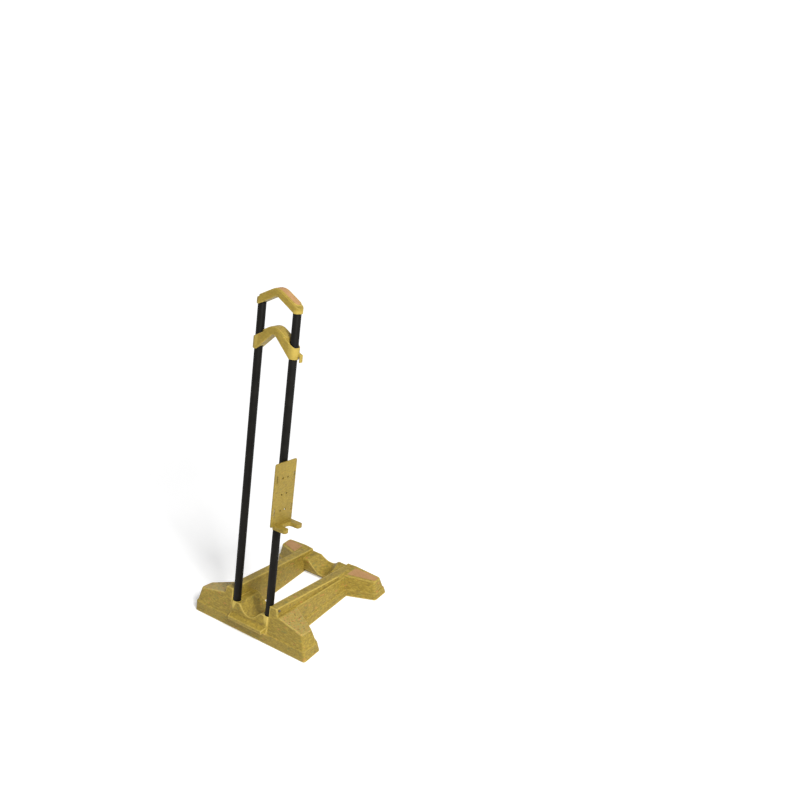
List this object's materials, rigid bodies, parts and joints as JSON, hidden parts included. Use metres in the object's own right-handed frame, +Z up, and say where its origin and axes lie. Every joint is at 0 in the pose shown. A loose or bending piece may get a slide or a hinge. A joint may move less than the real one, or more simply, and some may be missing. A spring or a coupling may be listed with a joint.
{
  "type": "bike display stand",
  "caption": "Free-standing stand that holds a bicycle by its front wheel, with leaning tubes, a sliding tyre clamp, an arched handle and an accessory plate.",
  "frame": {"origin": "on the floor, under the middle of the stand's depth and width", "axes": "+Z up, +Y the way the wheel rolls in past the uprights (from the nose to the rear feet), +X the side of the accessory plate"},
  "size_m": [0.367, 0.3584, 0.8704],
  "materials": {
    "recycled_plastic": "satin moulded, olive-gold with coloured specks",
    "cork": "pressed cork, matt",
    "tube_black": "satin black powder coat on aluminium",
    "bush_plastic": "matt black moulded",
    "rubber": "matt black",
    "screw_steel": "blackened steel"
  },
  "bodies": {
    "stand": {"base_frame": "recycled_plastic", "front_cradle": "recycled_plastic", "rear_cradle": "recycled_plastic", "handle_body": "recycled_plastic", "cork_pad_right": "cork", "cork_pad_left": "cork", "handle_grip": "cork", "tube_right": "tube_black", "tube_left": "tube_black", "tube_foot_plug_right": "bush_plastic", "tube_foot_plug_left": "bush_plastic", "tube_top_plug_right": "bush_plastic", "tube_top_plug_left": "bush_plastic", "rubber_foot_front_right": "rubber", "rubber_foot_front_left": "rubber", "rubber_foot_rear_right": "rubber", "rubber_foot_rear_left": "rubber", "front_cradle_screw_front_right": "screw_steel", "front_cradle_screw_front_left": "screw_steel", "front_cradle_screw_rear_right": "screw_steel", "front_cradle_screw_rear_left": "screw_steel", "rear_cradle_screw_front_right": "screw_steel", "rear_cradle_screw_front_left": "screw_steel", "rear_cradle_screw_rear_right": "screw_steel", "rear_cradle_screw_rear_left": "screw_steel", "cross_bolt_right": "screw_steel", "cross_bolt_left": "screw_steel", "cross_nut_right": "screw_steel", "cross_nut_left": "screw_steel", "handle_screw_right": "screw_steel", "handle_screw_left": "screw_steel"},
    "clamp": {"tyre_clamp": "recycled_plastic", "clamp_bush_lower_right": "bush_plastic", "clamp_bush_lower_left": "bush_plastic", "clamp_bush_upper_right": "bush_plastic", "clamp_bush_upper_left": "bush_plastic", "clamp_friction_ring_right": "rubber", "clamp_friction_ring_left": "rubber"},
    "plate_slider": {"plate_bush_lower": "bush_plastic", "plate_bush_upper": "bush_plastic"},
    "plate": {"accessory_plate": "recycled_plastic", "plate_collar_lower": "recycled_plastic", "plate_collar_upper": "recycled_plastic", "pinch_screw_lower": "screw_steel", "pinch_screw_upper": "screw_steel", "pinch_nut_lower": "screw_steel", "pinch_nut_upper": "screw_steel", "plate_screw_lower_front": "screw_steel", "plate_screw_lower_rear": "screw_steel", "plate_screw_upper_front": "screw_steel", "plate_screw_upper_rear": "screw_steel"}
  },
  "joints": [
    {"name": "clamp_slide", "type": "slide", "parent": "stand", "child": "clamp", "axis": [0, 0.2042, 0.9789], "range_m": [-0.13, 0.06]},
    {"name": "plate_slide", "type": "slide", "parent": "stand", "child": "plate_slider", "axis": [0, 0.2042, 0.9789], "range_m": [-0.15, 0.09]},
    {"name": "plate_swivel", "type": "hinge", "parent": "plate_slider", "child": "plate", "pos_m": [0.053, -0.15855, 0.0015], "axis": [0, 0.2042, 0.9789], "range_deg": [-90, 90]}
  ]
}
